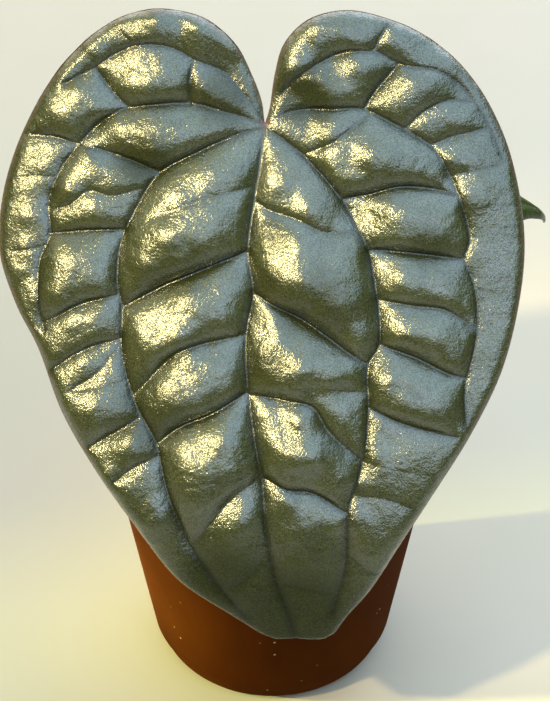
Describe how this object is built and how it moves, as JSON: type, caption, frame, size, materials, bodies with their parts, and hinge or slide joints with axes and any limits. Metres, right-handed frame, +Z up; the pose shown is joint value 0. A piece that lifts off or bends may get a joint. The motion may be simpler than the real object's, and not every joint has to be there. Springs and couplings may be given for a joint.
{
  "type": "potted bullate-leaved anthurium",
  "caption": "Potted anthurium: a large heart-shaped, deeply bullate leaf on an upright stalk and a smaller leaf behind it, in a round tapered nursery pot.",
  "frame": {"origin": "centre of the pot's base, on the surface it stands on", "axes": "+Z up along the pot's axis; the plant faces -Y, the large leaf's upper face looking up and forwards; +X to the right as seen from the front"},
  "size_m": [0.1706, 0.1276, 0.2262],
  "materials": {
    "pot": "amber-brown, slightly translucent, satin gloss, dusted with dried soil",
    "potting_mix": "coarse bark with crumbs of pumice, matte",
    "crown": "scarred green-brown stem, matte",
    "cataphyll": "dry, papery, fibrous",
    "petiole": "smooth green stalk, satin",
    "blade": "dark olive green, pebbled with a cool silvery sheen, pale veins",
    "young_blade": "mid green, pebbled satin"
  },
  "bodies": {
    "root": {"pot": "pot", "potting_mix": "potting_mix", "crown": "crown", "cataphyll_1": "cataphyll", "cataphyll_2": "cataphyll", "petiole_main": "petiole", "petiole_second": "petiole", "blade_main": "blade", "blade_second": "young_blade"}
  },
  "joints": []
}
